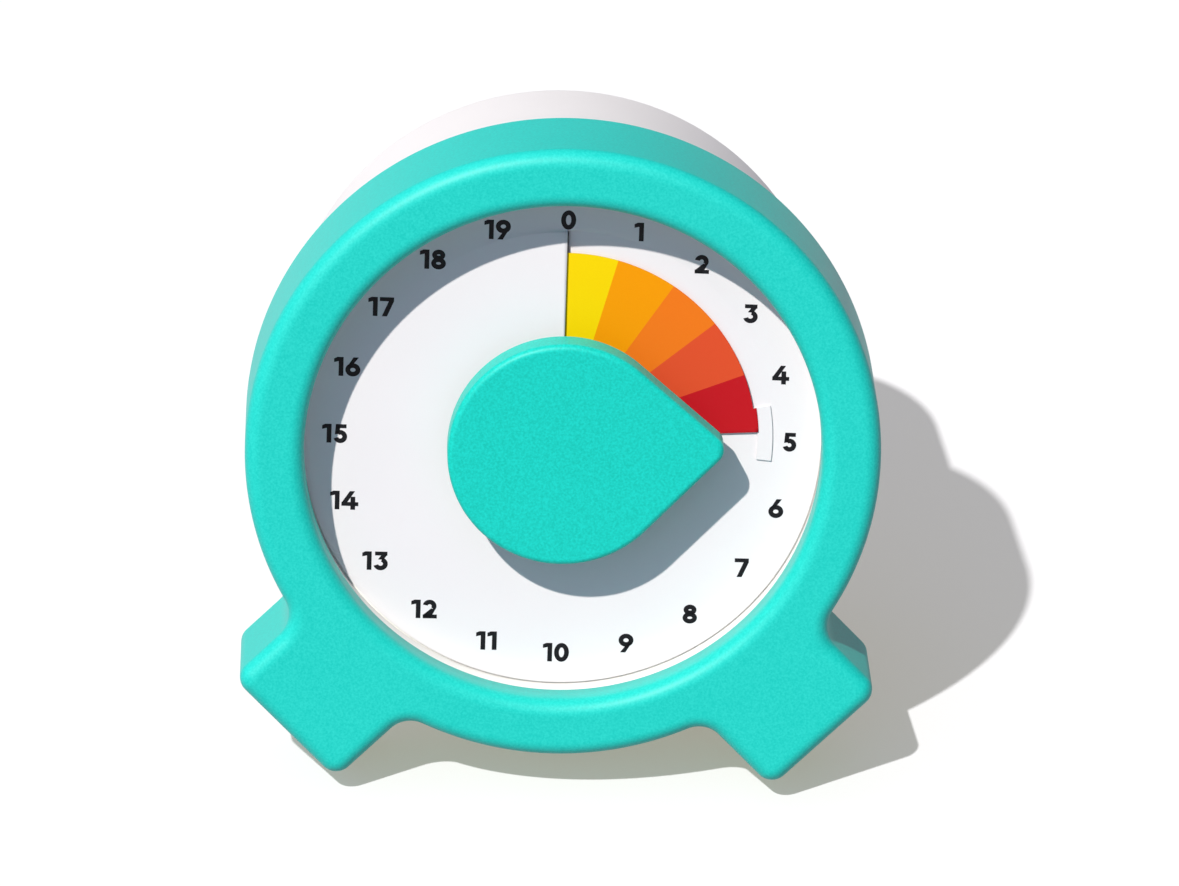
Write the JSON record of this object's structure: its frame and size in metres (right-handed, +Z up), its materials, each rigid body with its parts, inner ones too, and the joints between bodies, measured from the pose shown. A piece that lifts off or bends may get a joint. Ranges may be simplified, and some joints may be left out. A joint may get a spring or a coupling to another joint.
{
  "type": "visual countdown timer",
  "caption": "Visual countdown timer: round teal ring on two legs, white drum behind, numbered dial, teardrop knob and a rainbow disc that shows the time left.",
  "frame": {"origin": "on the floor, at the middle of the timer's box in width and depth", "axes": "+Z up, +X to the reader's right, the face looking towards -Y and leaning back 15.13 degrees"},
  "size_m": [0.1402, 0.113, 0.1465],
  "materials": {
    "teal_plastic": "finely speckled matte turquoise plastic",
    "white_plastic": "smooth matte white plastic",
    "dial_plastic": "smooth matte white sheet, printed",
    "printed_film": "printed film running through the colours of the rainbow",
    "screw_steel": "zinc plated",
    "steel": "turned or rolled, bright",
    "spring_steel": "tempered, blue grey",
    "bell_steel": "nickel plated",
    "brass": "stamped, satin"
  },
  "bodies": {
    "housing": {"front_shell": "teal_plastic", "rear_shell": "white_plastic", "dial_pan": "white_plastic", "dial_plate": "dial_plastic", "case_screws": "screw_steel", "front_plate": "steel", "rear_plate": "steel", "plate_pillars": "steel", "pillar_screws": "screw_steel", "movement_screws": "screw_steel", "front_bushing": "brass", "rear_bushing": "brass", "mainspring": "spring_steel", "spring_post": "steel", "stop_post": "steel", "bell": "bell_steel", "bell_post": "steel", "bell_nut": "brass"},
    "knob": {"knob": "teal_plastic", "arbor": "steel", "arbor_clip": "steel", "drive_sleeve": "brass", "great_wheel": "brass", "stop_pin": "steel", "strike_cam": "brass"},
    "disc": {"disc_hub": "white_plastic", "disc_carrier": "dial_plastic", "color_disc": "printed_film"},
    "second_shaft": {"second_pinion": "steel", "second_wheel": "brass"},
    "third_shaft": {"third_pinion": "steel", "third_wheel": "brass"},
    "escape_shaft": {"escape_pinion": "steel", "escape_wheel": "brass"},
    "pallet": {"pallet_arbor": "steel", "pallet_lever": "brass", "pallet_pins": "steel", "balance_bar": "brass"},
    "hammer": {"hammer_arbor": "steel", "hammer_arm": "brass", "hammer_head": "steel", "hammer_tail": "brass"}
  },
  "joints": [
    {"name": "knob_turn", "type": "hinge", "parent": "housing", "child": "knob", "pos_m": [0, -0.02351, 0.07589], "axis": [0, 0.9653, -0.261], "range_deg": [-87, 264]},
    {"name": "disc_lift", "type": "slide", "parent": "knob", "child": "disc", "axis": [0, -0.9653, 0.261], "range_m": [-0.00036, 0.0011]},
    {"name": "second_spin", "type": "hinge", "parent": "housing", "child": "second_shaft", "pos_m": [0.0203, -0.00131, 0.07754], "axis": [0, 0.9653, -0.261], "continuous": true},
    {"name": "third_spin", "type": "hinge", "parent": "housing", "child": "third_shaft", "pos_m": [0.0128, 0.00208, 0.09008], "axis": [0, 0.9653, -0.261], "continuous": true},
    {"name": "escape_spin", "type": "hinge", "parent": "housing", "child": "escape_shaft", "pos_m": [-0.00083, 0.00338, 0.09487], "axis": [0, 0.9653, -0.261], "continuous": true},
    {"name": "pallet_rock", "type": "hinge", "parent": "housing", "child": "pallet", "pos_m": [-0.00888, 0.00261, 0.09204], "axis": [0, 0.9653, -0.261], "range_deg": [-6, 6]},
    {"name": "hammer_swing", "type": "hinge", "parent": "housing", "child": "hammer", "pos_m": [-0.024, -0.00063, 0.08006], "axis": [0, 0.9653, -0.261], "range_deg": [-8, 2.3]}
  ],
  "couplings": [
    {"joint": "disc_lift", "follows": "knob_turn", "m_per_rad": 0.00023873},
    {"joint": "second_spin", "follows": "knob_turn", "ratio": -5},
    {"joint": "third_spin", "follows": "knob_turn", "ratio": 20},
    {"joint": "escape_spin", "follows": "knob_turn", "ratio": -96}
  ]
}
